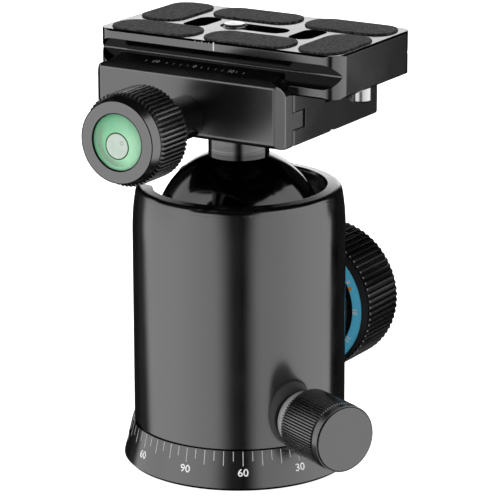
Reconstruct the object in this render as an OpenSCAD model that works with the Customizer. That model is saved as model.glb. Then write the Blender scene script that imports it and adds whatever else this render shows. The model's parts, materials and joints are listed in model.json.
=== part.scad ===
// Tripod ball head with a panning base, a numbered drag dial and a dovetail quick-release clamp.
// Origin: middle of the base's underside, at the tripod thread. +Z is up, +X points out along the
// main lock knob, +Y out through the drop notch. The clamp's knob points along -X.

/* [Base] */
// How far the base stands out of the housing at its top
base_lap = 0.5; // [0.3:0.1:1.5]
// How far the base flares out from its top to its foot
base_flare = 2.2; // [1:0.1:4]
// Height of the base
base_h = 10; // [9:0.5:13]
// Radius of the tripod thread, 3/8 inch
tripod_thread_r = 4.76; // [4:0.01:5]
// Radius of the steel bush that carries the tripod thread
bush_r = 7; // [6:0.25:8]
// Radius of the pan spindle
spindle_r = 10.5; // [9:0.25:11]
// Radius of the spindle's foot
foot_r = 15; // [14.5:0.25:16]
// Thickness of the spindle's foot
foot_t = 3; // [2:0.25:4]
// Gap that the pan seam leaves between base and housing
seam = 0.2; // [0.1:0.05:0.4]

/* [Housing] */
// Wall of the housing round the ball's bore
housing_wall = 4.4; // [4:0.1:6]
// Room between the ball and the bore below the mouth
ball_room = 1.1; // [0.8:0.1:1.6]
// Room between the ball and the mouth in the rim
mouth_room = 0.3; // [0.2:0.05:0.6]
// Height of the ball's centre above the main lock knob's axis
ball_up = 27.8; // [27:0.1:36]
// Thickness of the lip around the mouth
lip_t = 3.6; // [3:0.1:4.5]
// Height over which the housing draws in below the rim
crown_h = 11.5; // [8:0.5:16]
// How far the housing draws in below the rim
crown_in = 0.8; // [0.4:0.1:1.5]
// Width of the rim's ring, with the broken edge of the mouth
rim_flat = 2.65; // [2:0.05:3]
// How far the rim's ring falls outwards
rim_fall = 0.15; // [0:0.05:0.4]
// Broken edge of the mouth
mouth_edge = 0.6; // [0.2:0.1:1]
// Room on each side of the stem when it drops into the notch
notch_room = 1.2; // [0.6:0.1:2]
// Radius that opens the notch's two upper corners
notch_flare = 5; // [2:0.25:6]

/* [Ball] */
// Diameter of the ball
ball_d = 43; // [42.6:0.1:43.2]
// Depth of the ball's centre below the rim
ball_drop = 12.45; // [11.5:0.25:13.5]
// Diameter of the stem
stem_d = 15.4; // [14:0.2:16]
// Height of the clamp's underside above the ball's centre
stem_h = 29.4; // [29:0.2:34]
// Running gap between the ball and its seats
ball_gap = 0.05; // [0.03:0.01:0.1]

/* [Main lock] */
// Radius of the shaft's tip, which pushes the wedge
tip_r = 2.45; // [2:0.05:3.5]
// Radius of the main lock knob over its serrations
lock_r = 19; // [17:0.25:20]
// Gap between the housing and the serrated rim
lock_gap = 7.7; // [7:0.1:11]
// Length of the serrated rim
lock_l = 15.8; // [12:0.2:20]
// Number of serrations on the main lock knob
lock_teeth = 72; // [48:4:96]
// Width of the dial's numbered face
dial_w = 2.8; // [2.4:0.1:3.4]
// How far the dial ring stands out of the knob, towards the housing
dial_out = 2.5; // [2:0.1:3.5]
// Radius of the boss on the housing
boss_r = 11.5; // [10:0.25:12]
// Radius of the lock shaft
shaft_r = 4.5; // [4:0.1:5]
// Slope of the wedge, in degrees
wedge_slope = 5; // [4:1:6]
// Travel of the wedge between free and locked
wedge_travel = 1; // [0.5:0.1:1.5]

/* [Pan lock] */
// Direction of the pan lock knob, in degrees from the main lock knob
pan_dir = -115; // [-130:1:-100]
// Radius of the pan lock knob over its knurl
pan_r = 8.6; // [7:0.1:8.8]
// How far the pan lock knob stands out of the housing
pan_reach = 20; // [16:0.5:26]
// Number of ridges on the pan lock knob
pan_teeth = 48; // [36:4:60]
// Radius of the pan lock stud
stud_r = 3; // [2.5:0.1:3.2]

/* [Clamp] */
// Length of the clamp along the plate
clamp_l = 54; // [50:1:60]
// Wall of each jaw beside the plate
jaw_wall = 5.1; // [4.5:0.1:6]
// Thickness of the movable jaw, from its seam outwards
jaw_t = 5.5; // [5:0.1:6]
// Gap at the seam of the two jaws while they hold the plate
jaw_gap = 0.5; // [0.3:0.1:1]
// Height of the clamp's floor, underside to plate seat
clamp_floor = 12.5; // [12:0.25:14]
// Chamfer on the clamp's upright corners
clamp_corner = 2.1; // [1:0.1:3]
// Radius of the jaws' top corners
jaw_corner = 3.7; // [2:0.1:5]
// Height of the clamp screw above the clamp's underside
screw_up = 5.2; // [5:0.1:6]
// Radius of the clamp screw
screw_r = 2.5; // [2.4:0.1:3]
// Radius of the clamp knob over its ridges
clamp_knob_r = 11.4; // [10:0.2:12]
// Length of the clamp knob
clamp_knob_l = 13.5; // [12:0.5:18]
// Length of the sleeve between jaw and knob
sleeve_l = 16.5; // [10:0.5:20]
// Number of ridges on the clamp knob
clamp_teeth = 60; // [40:4:72]
// Travel of the movable jaw
jaw_travel = 3.5; // [3:0.5:4]
// Radius of the bubble level
level_r = 7; // [6:0.1:7.5]

/* [Plate] */
// Length of the quick-release plate
plate_l = 69; // [66:1:76]
// Width of the plate over its dovetails
plate_w = 38.5; // [38:0.1:39]
// Thickness of the plate
plate_t = 10.7; // [10:0.1:12]
// Depth of the V grooves in the plate's sides
groove_d = 3.1; // [2.5:0.1:3.4]
// Height of the square band above and below each V groove
band_h = 2.3; // [2:0.1:2.6]
// Radius of the plate's corners
plate_corner = 4.5; // [3.5:0.25:6]
// How far the plate lies from the clamp's middle, towards -Y
plate_slide = 4.7; // [-7:0.1:7]
// Radius of the camera screw's thread, 1/4 inch
camera_thread_r = 3.175; // [3:0.005:3.2]
// How far the camera screw stands out of the plate
camera_screw_out = 0.6; // [0:0.1:3]
// Length of the slot that the camera screw slides in
slot_l = 19; // [16:0.5:20]
// Thickness of a rubber pad above the plate
pad_out = 0.4; // [0.2:0.1:1]

/* [Hidden] */
$fn = 96;
eps = 0.01;
fit = 0.02;
run = 0.05;
slip = 0.1;

ball_r = ball_d / 2;
cavity_r = ball_r + ball_room;
mouth_r = ball_r + mouth_room;
body_r = cavity_r + housing_wall;
base_top_r = body_r + base_lap;
base_r = base_top_r + base_flare;
ball_seat_r = ball_r + ball_gap;
stem_r = stem_d / 2;
notch_w = stem_d + 2 * notch_room;
body_z = base_h + seam;
crown_step = 0.04;
past = 1;
hex = 6;

// Pan bearing, from the base up
base_edge = 0.8;
foot_z = base_h - foot_t;
base_screws = 3;
base_screw_r = 1.5;
base_screw_head_r = 2.9;
base_screw_head_t = 1.7;
base_screw_sink = 0.3;
base_screw_tip = 0.8;
base_key_r = 1.15;
base_key_d = 1.3;
bore_room = 0.4;
base_screw_at = (bush_r + foot_r) / 2;
base_screw_turn = 30;
pan_room = 0.3;
pan_cone_in = 1.7;
pan_cone_r = pan_r - pan_cone_in;
pan_z = base_h + pan_cone_r + pan_room;
groove_half = 3.2;
groove_in = 1;
floor_roof = 1;
plug_wall = 0.8;
plug_r = stud_r + plug_wall;
floor_z = pan_z + plug_r + floor_roof;
washer_t = 0.3;
nut_t = 3.5;
nut_r = 14;
neck_in = 2;
neck_r = spindle_r - neck_in;
nut_slot = 3;
nut_slots = 4;
spindle_end = 0.3;
spindle_top = floor_z + washer_t + nut_t + spindle_end;
floor_wall = 5.5;
floor_hole_r = 1.6;
floor_hole_d = 2.5;
floor_hole_in = 4;
floor_holes = 4;
floor_hole_turn = 20;
bed_room = 0.9;
bed_z = spindle_top + bed_room;
bed_t = 2;

// Lock train, from the bed up
wedge_z = bed_z + bed_t;
wedge_w = 14;
wedge_in = -12;
wedge_room = 6;
wedge_play = 0.2;
lock_z = wedge_z + tip_r + run;
ball_z = lock_z + ball_up;
rim_z = ball_z + ball_drop;
lip_z = rim_z - lip_t;
tip_l = 2;
tip_in = cavity_r - tip_l;
wedge_out = tip_in - slip;
wedge_thick = 1.6;
wedge_lift = wedge_travel * tan(wedge_slope) + run;
seat_floor = 2.2;
seat_z = ball_z - ball_seat_r - seat_floor;
seat_in = 3;
seat_r = cavity_r - seat_in;
seat_angle = 50;
seat_top = ball_z - ball_seat_r * cos(seat_angle);
seat_hole_r = 4;
press_z = wedge_z + wedge_thick;
ring_up = 2.5;
ring_bottom = ball_z + ring_up;
ring_deep = 4.3;
ring_in = ball_r - ring_deep;
dimple_r = 2.5;
dimple_d = 2;

// Main lock knob, measured along its axis from the pan axis
lock_in = body_r + lock_gap;
lock_out = lock_in + lock_l;
boss_floor = 1.7;
boss_in = cavity_r + boss_floor;
boss_play = 0.2;
boss_room = 1;
boss_out = lock_in - dial_out - boss_room;
boss_wall = 2;
boss_nose_r = shaft_r + boss_wall;
collar = 0.4;
tooth_depth = 0.6;
lock_edge = 1.2;
lock_break = 0.3;
dial_flare = 0.7;
dial_ring_r = lock_r - tooth_depth;
dial_r = dial_ring_r - dial_flare;
dial_in_r = dial_r - dial_w;
dial_rim = 1.5;
dial_ride_r = dial_in_r - dial_rim;
dial_lip = 0.15;
dial_t = 1;
dial_sink = 0.1;
dial_stop = 0.2;
hub_wall = 3.5;
hub_r = shaft_r + hub_wall;
hub_room = 2;
knob_wall = 3;
knob_web = 4;
cap_r = 9;
cap_t = 1.5;
cap_dish = 0.4;
cap_edge = 0.6;
cap_rim = 2;
shaft_end = 1;
shaft_out = lock_out - cap_t - shaft_end;

// Pan lock knob, measured along its axis from the pan axis
pan_out = body_r + pan_reach;
pan_in = body_r + pan_room;
pan_cone = 4.1;
pan_band = 2.6;
pan_band_in = 0.15;
pan_band_r = pan_r - pan_band_in;
pan_face_in = 0.5;
pan_face_r = pan_r - pan_face_in;
pan_edge = 0.4;
pan_step = 0.3;
pan_tooth = 0.35;
plug_travel = 0.3;
plug_nose = 0.3;
plug_in = spindle_r - groove_in + plug_travel + slip;
plug_l = 6;
plug_out = plug_in + plug_l;
stud_in = plug_out + slip;
stud_end = 4;
stud_out = pan_out - stud_end;

// Clamp, measured from its underside
clamp_z = ball_z + stem_h;
floor_top = clamp_z + clamp_floor;
plate_half = plate_w / 2;
plate_z = floor_top + slip;
groove_low = plate_z + band_h;
groove_mid = plate_z + plate_t / 2;
jaw_room = 0.35;
jaw_inner = plate_half + jaw_room;
side = jaw_inner + jaw_wall;
lip_gap = 0.15;
lip_edge = 0.35;
lip_room = 0.75;
lip_in = plate_half - groove_d + lip_room;
lip_nose = 0.5;
root_half = 0.15;
groove_rise = (plate_t / 2 - root_half - band_h) / groove_d;
function lip_under(x) = groove_low + (plate_half - x) * groove_rise + lip_gap;
lip_top = lip_under(lip_in) + lip_edge;
jaw_fall = 1.4;
jaw_outer_top = lip_top - jaw_fall;
jaw_round = 1.2;
fixed_heel = 3.4;
moving_heel = 1.5;
jaw_split = side - jaw_t;
tongue_l = 5;
tongue_up = 3.9;
tongue_t = 4.3;
tongue_room = 1;
tongue_low = clamp_z + tongue_up;
tongue_high = tongue_low + tongue_t;
screw_z = clamp_z + screw_up;
screw_end = -8;
screw_room = 0.8;
pin_y = 17;
pin_r = 1.2;
pin_z = (tongue_low + tongue_high) / 2;
pin_in = -3;
pin_held = 2;
pin_out = -jaw_split - pin_held;
pin_room = 0.6;
spring_r = 1.9;
spring_wire = 0.3;
spring_room = 0.3;
spring_turns = 6;
spring_steps = 14;
spring_sides = 6;
spring_in = -6;
bolt_r = 3;
bolt_head_r = 4.6;
bolt_head_t = 4;
bolt_head_room = 0.3;
bolt_key_r = 2.6;
bolt_key_z = 1.4;
bolt_floor = 3;
bolt_z = clamp_z + bolt_floor;
bolt_held = 4;
bolt_end = ball_z + ball_r - bolt_held;
relief_w = 7;
relief_l = 12;
relief_room = 0.7;
stop_head_t = 4.1;
relief_d = stop_head_t + relief_room;
seam_edge = 0.5;
mark_w = 1.6;
mark_d = 0.9;

// Clamp knob, measured along its axis from the pan axis
knob_in = side + sleeve_l;
knob_out = knob_in + clamp_knob_l;
sleeve_r = 5.3;
face_in = 1.5;
face_r = clamp_knob_r - face_in;
face_cone = 2.5;
face_edge = 0.5;
face_lip = 0.15;
cone_in = 0.8;
cone_r = clamp_knob_r - cone_in;
cone_edge = 0.6;
ridge_break = 0.5;
ridge_depth = 0.7;
level_d = 4;
level_wall = 0.6;
level_floor = 1;
level_sink = 0.3;
level_in = knob_out - level_d;
level_out = knob_out - level_sink;
bubble_r = 3.1;
bubble_d = 1.1;
bubble_out = level_out - level_wall;
bubble_in = bubble_out - bubble_d;
head_r = 4.6;
head_t = 3;

// Plate, measured from its own middle
plate_y = -plate_slide;
plate_top = plate_z + plate_t;
plate_edge = 0.5;
pad_t = 1.2;
pad_gap = 0.15;
pad_corner = 5;
long_pad = [11.4, 24];
short_pad = [21.8, 12];
long_margin = [0.95, 2.2];
short_margin = [1.35, 1.5];
pads_apart = 2.8;
long_pad_x = plate_half - long_margin[0] - long_pad[0] / 2;
long_pad_y = long_margin[1] + (long_pad[1] - plate_l) / 2;
short_pad_x = plate_half - short_margin[0] - short_pad[0] / 2;
short_pad_y = (plate_l - short_pad[1]) / 2 - short_margin[1];
pads = [
    [long_pad, long_pad_x, long_pad_y],
    [long_pad, long_pad_x, long_pad_y + long_pad[1] + pads_apart],
    [short_pad, short_pad_x, short_pad_y]
];
strap_hole = [12.2, 6.4];
strap_y = 15.2;
strap_corner = 3.1;
slot_room = 0.45;
slot_w = 2 * camera_thread_r + slot_room;
slot_sink_w = 10.4;
slot_sink = 4.9;
slot_end = 0.2;
camera_y = (slot_l - slot_w) / 2 - slot_end;
clip_t = 0.9;
clip_r = 5;
clip_room = 0.03;
camera_head_r = 5;
camera_tip = 0.6;
head_rise = 0.4;
head_cut_w = 1.6;
head_cut_d = 1.4;
stop_end = 4.3;
stop_y = plate_l / 2 - stop_end;
stop_head_r = 2.7;
stop_edge = 0.4;
stop_r = 1.5;
stop_depth = 4;
stop_room = 0.3;
stop_key_r = 1.4;
stop_key_d = 1.8;

// ---- shapes that several pieces share ----

// Rectangle x by y with round corners, around the origin
module round_rect(size, r) {
    square([size[0] - 2 * r, size[1]], center = true);
    square([size[0], size[1] - 2 * r], center = true);
    for (x = [-1, 1], y = [-1, 1])
        translate([x * (size[0] / 2 - r), y * (size[1] / 2 - r)]) circle(r);
}

// Slot along Y, of overall length l
module slot(w, l) {
    square([w, l - w], center = true);
    for (y = [-1, 1])
        translate([0, y * (l - w) / 2]) circle(w / 2);
}

// Outline with n ridges, r over the ridges
module ridged_outline(r, depth, n) {
    shares = [0, 0.2, 0.55, 0.75];
    polygon([for (i = [0 : n - 1], k = [0 : 3])
        let (a = 360 * (i + shares[k]) / n, rr = (k == 1 || k == 2) ? r : r - depth)
            [rr * cos(a), rr * sin(a)]]);
}

// Ridged band from z0 to z1 whose two ends are chamfered by edge0 and edge1
module ridged_band(r, depth, n, z0, z1, edge0, edge1) {
    intersection() {
        translate([0, 0, z0]) linear_extrude(z1 - z0) ridged_outline(r, depth, n);
        rotate_extrude() polygon([
            [0, z0], [r - edge0, z0], [r + eps, z0 + edge0], [r + eps, z1 - edge1], [r - edge1, z1], [0, z1]
        ]);
    }
}

module tube(r_out, r_in, z0, z1) {
    translate([0, 0, z0]) difference() {
        cylinder(r = r_out, h = z1 - z0);
        translate([0, 0, -past]) cylinder(r = r_in, h = z1 - z0 + 2 * past);
    }
}

module rod(r, z0, z1) {
    translate([0, 0, z0]) cylinder(r = r, h = z1 - z0);
}

// Frames of the three knobs: local +Z runs out along the knob's axis
module on_lock_axis() { translate([0, 0, lock_z]) rotate([0, 90, 0]) children(); }
module on_pan_axis() { translate([0, 0, pan_z]) rotate([0, 90, pan_dir]) children(); }
module on_clamp_axis() { translate([0, 0, screw_z]) rotate([0, -90, 0]) children(); }

// ---- base ----

module base_screw_holes(shank, head) {
    for (i = [0 : base_screws - 1])
        rotate([0, 0, 360 * i / base_screws + base_screw_turn]) translate([base_screw_at, 0, 0]) {
            rod(shank, -past, base_h - base_screw_tip + slip);
            rod(head, -past, base_screw_sink);
            translate([0, 0, base_screw_sink])
                cylinder(r1 = head, r2 = shank, h = base_screw_head_t);
        }
}

module pan_base() {
    color("#242527") difference() {
        rotate_extrude() polygon([
            [bush_r, 0], [base_r - base_edge, 0], [base_r, base_edge], [base_top_r, base_h],
            [foot_r + run, base_h], [foot_r + run, foot_z], [bush_r, foot_z]
        ]);
        base_screw_holes(base_screw_r + run, base_screw_head_r + run);
    }
}

module thread_bush() {
    color("silver") tube(bush_r, tripod_thread_r, 0, foot_z);
}

module base_screws() {
    color("silver") for (i = [0 : base_screws - 1])
        rotate([0, 0, 360 * i / base_screws + base_screw_turn]) translate([base_screw_at, 0, 0])
            difference() {
                union() {
                    rod(base_screw_r, base_screw_sink, base_h - base_screw_tip);
                    translate([0, 0, base_screw_sink])
                        cylinder(r1 = base_screw_head_r, r2 = base_screw_r, h = base_screw_head_t);
                }
                translate([0, 0, base_screw_sink - eps]) cylinder(r = base_key_r, h = base_key_d, $fn = hex);
            }
}

module pan_spindle() {
    color("#8c8e91") difference() {
        rotate_extrude() polygon([
            [tripod_thread_r + bore_room, foot_z], [foot_r, foot_z], [foot_r, base_h], [spindle_r, base_h],
            [spindle_r, pan_z - groove_half], [spindle_r - groove_in, pan_z - groove_half + groove_in],
            [spindle_r - groove_in, pan_z + groove_half - groove_in], [spindle_r, pan_z + groove_half],
            [spindle_r, floor_z + washer_t], [neck_r, floor_z + washer_t], [neck_r, spindle_top],
            [tripod_thread_r + bore_room, spindle_top]
        ]);
        base_screw_holes(base_screw_r, base_screw_r);
    }
}

module pan_washer() {
    color("#cfcab8") tube(nut_r, spindle_r + run, floor_z, floor_z + washer_t);
}

module spindle_nut() {
    color("#9a9b9e") difference() {
        tube(nut_r, neck_r, floor_z + washer_t, floor_z + washer_t + nut_t);
        for (i = [0 : nut_slots - 1])
            rotate([0, 0, 360 * i / nut_slots]) translate([nut_r, 0, floor_z + washer_t + nut_t / 2])
                cube([nut_slot, nut_slot, nut_t + past], center = true);
    }
}

// ---- housing ----

// Slot from the ball's centre outwards, round at its bottom and opened out at the rim
module drop_notch() {
    w = notch_w / 2;
    translate([0, body_r + past, 0]) rotate([90, 0, 0]) linear_extrude(body_r + past) {
        translate([0, ball_z]) circle(w);
        translate([-w, ball_z]) square([notch_w, rim_z - ball_z + past]);
        // rounded corners at the rim
        difference() {
            translate([-w - notch_flare, rim_z - notch_flare])
                square([2 * (w + notch_flare), notch_flare + past]);
            for (s = [-1, 1]) translate([s * (w + notch_flare), rim_z - notch_flare]) circle(notch_flare);
        }
    }
}

module housing() {
    crown_z = rim_z - crown_h;
    rim_r = mouth_r + rim_flat;
    shoulder = body_r - crown_in - rim_r - crown_step;
    crown_rise = crown_h - rim_fall - shoulder;
    crown_r = (pow(crown_rise, 2) + pow(crown_in, 2)) / (2 * crown_in);
    color("#26272a") difference() {
        rotate_extrude() difference() {
            union() {
                translate([cavity_r, body_z]) square([housing_wall, crown_z - body_z]);
                // crown: a slow arc in, then the rim's rounded edge
                intersection() {
                    translate([body_r - crown_r, crown_z]) circle(crown_r, $fn = 360);
                    translate([mouth_r, crown_z]) square([body_r, crown_rise]);
                }
                polygon([
                    [mouth_r, crown_z], [rim_r, crown_z], [rim_r, rim_z - rim_fall],
                    [mouth_r + mouth_edge, rim_z], [mouth_r, rim_z - mouth_edge]
                ]);
                translate([rim_r, rim_z - rim_fall - shoulder]) intersection() {
                    circle(shoulder);
                    square(shoulder);
                }
            }
            translate([0, body_z - past]) square([cavity_r, lip_z - body_z + past]);
        }
        drop_notch();
        on_lock_axis() {
            rod(boss_r + fit, boss_in, body_r + past);
            rod(boss_nose_r + fit, cavity_r - boss_nose_r, body_r);
        }
        on_pan_axis() rod(stud_r + run, cavity_r - stud_r, body_r + past);
    }
}

module housing_floor() {
    color("#3b3c3f") difference() {
        rotate_extrude() polygon([
            [spindle_r + run, body_z], [cavity_r - fit, body_z], [cavity_r - fit, bed_z],
            [cavity_r - floor_wall, bed_z], [cavity_r - floor_wall, floor_z],
            [spindle_r + run, floor_z]
        ]);
        on_pan_axis() {
            rod(plug_r + run, 0, plug_out + 2 * slip);
            rod(stud_r + run, plug_out, body_r);
        }
        for (i = [0 : floor_holes - 1])
            rotate([0, 0, 360 * i / floor_holes + floor_hole_turn])
                translate([cavity_r - floor_hole_in, 0, body_z]) rod(floor_hole_r, -past, floor_hole_d);
    }
}

module upper_ball_ring() {
    color("#b9b7ae") difference() {
        rotate_extrude() difference() {
            translate([ring_in, ring_bottom])
                square([cavity_r - fit - ring_in, lip_z - ring_bottom]);
            translate([0, ball_z]) circle(ball_seat_r, $fn = 180);
        }
        drop_notch();
    }
}

// ---- lock train under the ball ----

module wedge_bed() {
    color("#77797c") difference() {
        rod(cavity_r - fit, bed_z, wedge_z);
        rod(seat_hole_r, bed_z - past, wedge_z + past);
    }
}

// Side view of the wedge, x along the lock axis and y up: thick at the knob's end
function wedge_side(gap, in, out) = [
    [in, 0], [out, 0], [out, wedge_thick + (out - wedge_in) * tan(wedge_slope) + gap],
    [in, wedge_thick + (in - wedge_in) * tan(wedge_slope) + gap]
];

module lock_wedge() {
    color("#b08d4a") translate([0, wedge_w / 2, wedge_z]) rotate([90, 0, 0])
        linear_extrude(wedge_w) polygon(wedge_side(0, wedge_in, wedge_out));
}

module pressure_plate() {
    color("#85878a") difference() {
        rod(seat_r, press_z, seat_z);
        translate([0, wedge_w / 2 + wedge_play, wedge_z]) rotate([90, 0, 0])
            linear_extrude(wedge_w + 2 * wedge_play)
                polygon(wedge_side(wedge_lift, wedge_in - wedge_travel - wedge_room, cavity_r + past));
    }
}

module ball_seat() {
    color("#d8d5c8") rotate_extrude() difference() {
        translate([seat_hole_r, seat_z]) square([seat_r - seat_hole_r, seat_top - seat_z]);
        translate([0, ball_z]) circle(ball_seat_r, $fn = 180);
    }
}

// ---- ball ----

module ball_stem() {
    color("#17181a") difference() {
        union() {
            translate([0, 0, ball_z]) sphere(ball_r, $fn = 180);
            rod(stem_r, ball_z, clamp_z);
        }
        rod(bolt_r, bolt_end - past, clamp_z + past);
        rod(dimple_r, ball_z - ball_r - past, ball_z - ball_r + dimple_d);
    }
}

module stem_bolt() {
    color("#5b5d60") difference() {
        union() {
            rod(bolt_r, bolt_end, bolt_z + past);
            rod(bolt_head_r, bolt_z, bolt_z + bolt_head_t);
        }
        translate([0, 0, bolt_z + bolt_key_z]) cylinder(r = bolt_key_r, h = bolt_head_t, $fn = hex);
    }
}

// ---- main lock knob and drag dial ----

module lock_boss() {
    color("#1b1c1e") on_lock_axis() difference() {
        union() {
            rod(boss_r, boss_in, boss_out);
            rod(boss_nose_r, cavity_r + boss_play, boss_in + past);
        }
        rod(shaft_r + run, cavity_r, boss_out + past);
    }
}

module lock_shaft() {
    color("#9fa1a4") on_lock_axis() {
        rod(shaft_r, cavity_r + collar, shaft_out);
        rod(tip_r, tip_in, cavity_r + past);
    }
}

module lock_knob() {
    web_z = lock_out - knob_web;
    color("#1d1e20") on_lock_axis() difference() {
        union() {
            ridged_band(lock_r, tooth_depth, lock_teeth, lock_in, lock_out, lock_break, lock_edge);
            rod(dial_ride_r, lock_in - dial_out - dial_stop, lock_in + past);
        }
        // hollow behind the dial, round the hub
        difference() {
            rod(dial_ride_r - knob_wall, boss_out, web_z);
            rod(hub_r, boss_out + hub_room, web_z + past);
        }
        rod(shaft_r + fit, boss_out, lock_out + past);
        rod(cap_r + fit, lock_out - cap_t, lock_out + past);
    }
}

module lock_knob_cap() {
    color("#2c2d30") on_lock_axis() rotate_extrude() polygon([
        [0, lock_out - cap_t], [cap_r, lock_out - cap_t], [cap_r, lock_out - cap_dish],
        [cap_r - cap_edge, lock_out], [cap_r - cap_rim, lock_out],
        [cap_r - cap_rim - cap_dish, lock_out - cap_dish], [0, lock_out - cap_dish]
    ]);
}

module dial_ring() {
    face = lock_in - dial_out;
    color("#141416") on_lock_axis() rotate_extrude() polygon([
        [dial_ride_r + run, face], [dial_in_r, face], [dial_in_r, face + dial_t], [dial_r, face + dial_t],
        [dial_r, face], [dial_r + dial_lip, face], [dial_ring_r, lock_in - slip],
        [dial_ride_r + run, lock_in - slip]
    ]);
}

module dial_scale() {
    face = lock_in - dial_out;
    color("#3c9ad6") on_lock_axis() tube(dial_r, dial_in_r, face + dial_sink, face + dial_t);
}

// ---- pan lock ----

module pan_plug() {
    nose = groove_half - groove_in - plug_nose;
    color("#e6e2d3") on_pan_axis() rotate_extrude() polygon([
        [0, plug_in], [nose, plug_in], [plug_r, plug_in + plug_r - nose], [plug_r, plug_out], [0, plug_out]
    ]);
}

module pan_stud() {
    color("#9fa1a4") on_pan_axis() rod(stud_r, stud_in, stud_out);
}

module pan_knob() {
    knurl_in = pan_in + pan_cone;
    knurl_out = pan_out - pan_band;
    color("#232426") on_pan_axis() difference() {
        union() {
            rotate_extrude() polygon([
                [0, pan_in], [pan_cone_r, pan_in], [pan_r - pan_tooth, knurl_in],
                [pan_r - pan_tooth, knurl_out], [pan_band_r, knurl_out + pan_step],
                [pan_band_r, pan_out - pan_edge],
                [pan_face_r, pan_out], [0, pan_out]
            ]);
            ridged_band(pan_r, pan_tooth, pan_teeth, knurl_in, knurl_out, pan_edge, pan_edge);
        }
        rod(stud_r, pan_in - past, stud_out);
    }
}

// ---- clamp ----

// Half profile of a jaw across the clamp, outer side towards +x, underside at clamp_z
module jaw_profile(inner_low, heel) {
    difference() {
        polygon([
            [inner_low, clamp_z], [side, clamp_z], [side, jaw_outer_top - jaw_round],
            [side - jaw_round, jaw_outer_top], [lip_in + lip_nose, lip_top], [lip_in, lip_under(lip_in)],
            [jaw_inner, lip_under(jaw_inner)], [jaw_inner, floor_top], [inner_low, floor_top]
        ]);
        // round heel
        translate([side - heel, clamp_z + heel]) difference() {
            translate([0, -heel - past]) square(heel + past);
            circle(heel);
        }
    }
}

// Room that the clamp fills: plan with cut corners, ends with round top corners
module clamp_room() {
    c = clamp_corner;
    x = side;
    y = clamp_l / 2;
    h = lip_top - clamp_z + past;
    intersection() {
        translate([0, 0, clamp_z - past]) linear_extrude(h + 2 * past) polygon([
            [c - x, -y], [x - c, -y], [x, c - y], [x, y - c], [x - c, y], [c - x, y], [-x, y - c], [-x, c - y]
        ]);
        translate([-x - past, 0, 0]) rotate([90, 0, 90]) linear_extrude(2 * (x + past)) {
            translate([-y, clamp_z - past]) square([2 * y, jaw_outer_top - jaw_corner - clamp_z + past]);
            translate([jaw_corner - y, clamp_z]) square([2 * (y - jaw_corner), h]);
            for (s = [-1, 1])
                translate([s * (y - jaw_corner), jaw_outer_top - jaw_corner]) circle(jaw_corner);
        }
    }
}

module along_clamp() {
    translate([0, clamp_l / 2, 0]) rotate([90, 0, 0]) linear_extrude(clamp_l) children();
}

module clamp_base() {
    color("#232427") difference() {
        intersection() {
            clamp_room();
            along_clamp() difference() {
                jaw_profile(jaw_gap - jaw_split, fixed_heel);
                translate([-jaw_split, tongue_low - slip])
                    square([tongue_l + tongue_room, tongue_high - tongue_low + 2 * slip]);
            }
        }
        // seat of the bolt into the stem
        rod(bolt_r + run, clamp_z - past, floor_top);
        rod(bolt_head_r + bolt_head_room, bolt_z, floor_top + past);
        // grooves in which the plate's stop screws run
        for (s = [-1, 1])
            translate([-relief_w / 2, s > 0 ? clamp_l / 2 - relief_l : -clamp_l / 2 - past, 0])
                translate([0, 0, floor_top - relief_d]) cube([relief_w, relief_l + past, relief_d + past]);
        // broken edges at the seam, and the mark in the middle of each end
        for (s = [-1, 1]) {
            translate([jaw_gap - jaw_split, s * clamp_l / 2, clamp_z - past])
                cylinder(r = seam_edge, h = clamp_floor + 2 * past, $fn = 4);
            translate([0, s * clamp_l / 2, clamp_z]) rotate([45, 0, 0])
                cube([mark_w, mark_d, mark_d], center = true);
        }
        on_clamp_axis() rod(screw_r + run, -screw_end - screw_room, side);
        for (y = [-pin_y, pin_y]) translate([0, y, pin_z - screw_z]) on_clamp_axis() {
            rod(pin_r, -pin_in - eps, side);
            rod(spring_r + spring_room, -spring_in, side);
        }
    }
}

module movable_jaw() {
    color("#232427") difference() {
        intersection() {
            clamp_room();
            along_clamp() {
                mirror([1, 0]) jaw_profile(jaw_split, moving_heel);
                translate([-jaw_split - past, tongue_low])
                    square([tongue_l + past, tongue_high - tongue_low]);
            }
        }
        on_clamp_axis() rod(screw_r + run, 0, side + past);
        for (y = [-pin_y, pin_y]) translate([0, y, pin_z - screw_z]) on_clamp_axis()
            rod(pin_r + run, 0, -pin_out + pin_room);
    }
}

module jaw_pins() {
    color("silver") for (y = [-pin_y, pin_y])
        translate([0, y, pin_z - screw_z]) on_clamp_axis() rod(pin_r, -pin_in, -pin_out);
}

// Coil spring along +Z, six-sided wire swept along its helix
module coil_spring(r, wire, turns, length) {
    steps = turns * spring_steps;
    sides = spring_sides;
    rise = length - 2 * wire;
    rings = [for (i = [0 : steps]) let (a = 360 * turns * i / steps, z = wire + rise * i / steps)
        for (j = [0 : sides - 1]) let (b = 360 * j / sides, rr = r + wire * cos(b))
            [rr * cos(a), rr * sin(a), z + wire * sin(b)]];
    walls = [for (i = [0 : steps - 1], j = [0 : sides - 1])
        let (k = (j + 1) % sides)
            [i * sides + j, (i + 1) * sides + j, (i + 1) * sides + k, i * sides + k]];
    ends = [[for (j = [0 : sides - 1]) j], [for (j = [sides - 1 : -1 : 0]) steps * sides + j]];
    polyhedron(rings, concat(walls, ends), 4);
}

module jaw_springs() {
    spring_l = jaw_split - tongue_l + spring_in;
    color("#c4c6c9") for (y = [-pin_y, pin_y])
        translate([0, y, pin_z - screw_z]) on_clamp_axis() translate([0, 0, -spring_in])
            coil_spring(spring_r - spring_wire, spring_wire, spring_turns, spring_l - slip);
}

module clamp_screw() {
    color("silver") on_clamp_axis() {
        rod(screw_r, -screw_end, level_in - head_t);
        rod(head_r, level_in - head_t, level_in);
    }
}

module knob_sleeve() {
    color("#1a1b1d") on_clamp_axis() tube(sleeve_r, screw_r, side + slip, knob_in);
}

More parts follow.
